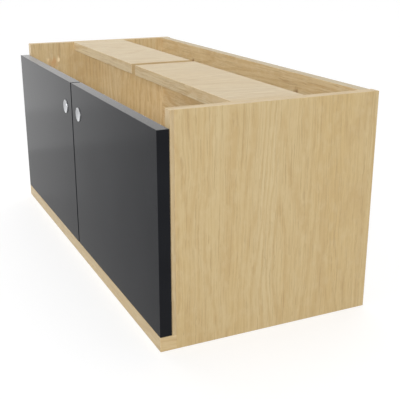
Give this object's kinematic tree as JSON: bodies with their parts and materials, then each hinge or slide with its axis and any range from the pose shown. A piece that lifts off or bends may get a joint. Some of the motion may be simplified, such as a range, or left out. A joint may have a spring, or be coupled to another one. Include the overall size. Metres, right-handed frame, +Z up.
{
  "type": "two-door cabinet",
  "caption": "Low oak-faced cabinet with dark hinged doors, round silver knobs, concealed cup hinges and an open top carrying flat rails.",
  "frame": {"origin": "middle of the base, halfway between the doors' front plane and the side panels' rear edges", "axes": "+X to the right seen from the front, +Y to the back, +Z up"},
  "size_m": [0.8, 0.3505, 0.345],
  "materials": {
    "oak_board": "satin oak veneer",
    "oak_lipping": "satin solid oak",
    "dark_door": "satin anthracite lacquer on board",
    "satin_silver": "satin",
    "hinge_steel": "nickel plated",
    "zinc_screw": "zinc plated",
    "beech_dowel": "plain"
  },
  "bodies": {
    "carcass": {"back_dowels": "beech_dowel", "back_panel": "oak_board", "bottom_dowels": "beech_dowel", "bottom_front_strip": "oak_lipping", "bottom_panel": "oak_board", "cleat_screws": "zinc_screw", "hinge_arm_screws": "zinc_screw", "left_front_lipping": "oak_lipping", "left_lower_hinge_arm": "hinge_steel", "left_lower_mounting_plate": "hinge_steel", "left_side_panel": "oak_board", "left_top_rail": "oak_board", "left_upper_hinge_arm": "hinge_steel", "left_upper_mounting_plate": "hinge_steel", "mounting_plate_screws": "zinc_screw", "rail_dowels": "beech_dowel", "rail_joining_cleat": "oak_board", "right_front_lipping": "oak_lipping", "right_lower_hinge_arm": "hinge_steel", "right_lower_mounting_plate": "hinge_steel", "right_side_panel": "oak_board", "right_top_rail": "oak_board", "right_upper_hinge_arm": "hinge_steel", "right_upper_mounting_plate": "hinge_steel", "strip_dowels": "beech_dowel"},
    "left_door": {"left_cup_screws": "zinc_screw", "left_door_panel": "dark_door", "left_hinge_pins": "hinge_steel", "left_knob": "satin_silver", "left_knob_screw": "zinc_screw", "left_lower_hinge_cup": "hinge_steel", "left_upper_hinge_cup": "hinge_steel"},
    "right_door": {"right_cup_screws": "zinc_screw", "right_door_panel": "dark_door", "right_hinge_pins": "hinge_steel", "right_knob": "satin_silver", "right_knob_screw": "zinc_screw", "right_lower_hinge_cup": "hinge_steel", "right_upper_hinge_cup": "hinge_steel"},
    "left_links": {"left_lower_hinge_link": "hinge_steel", "left_upper_hinge_link": "hinge_steel"},
    "right_links": {"right_lower_hinge_link": "hinge_steel", "right_upper_hinge_link": "hinge_steel"}
  },
  "joints": [
    {"name": "left_door_hinge", "type": "hinge", "parent": "carcass", "child": "left_door", "pos_m": [-0.395, -0.16955, 0.172], "axis": [0, 0, -1], "range_deg": [0, 95]},
    {"name": "right_door_hinge", "type": "hinge", "parent": "carcass", "child": "right_door", "pos_m": [0.395, -0.16955, 0.172], "axis": [0, 0, 1], "range_deg": [0, 95]},
    {"name": "left_link_pivot", "type": "hinge", "parent": "left_door", "child": "left_links", "pos_m": [-0.3909, -0.16315, 0.172], "axis": [0, 0, 1], "range_deg": [0, 120]},
    {"name": "right_link_pivot", "type": "hinge", "parent": "right_door", "child": "right_links", "pos_m": [0.3909, -0.16315, 0.172], "axis": [0, 0, -1], "range_deg": [0, 120]}
  ],
  "couplings": [
    {"joint": "left_link_pivot", "follows": "left_door_hinge", "ratio": 1.25},
    {"joint": "right_link_pivot", "follows": "right_door_hinge", "ratio": 1.25}
  ]
}
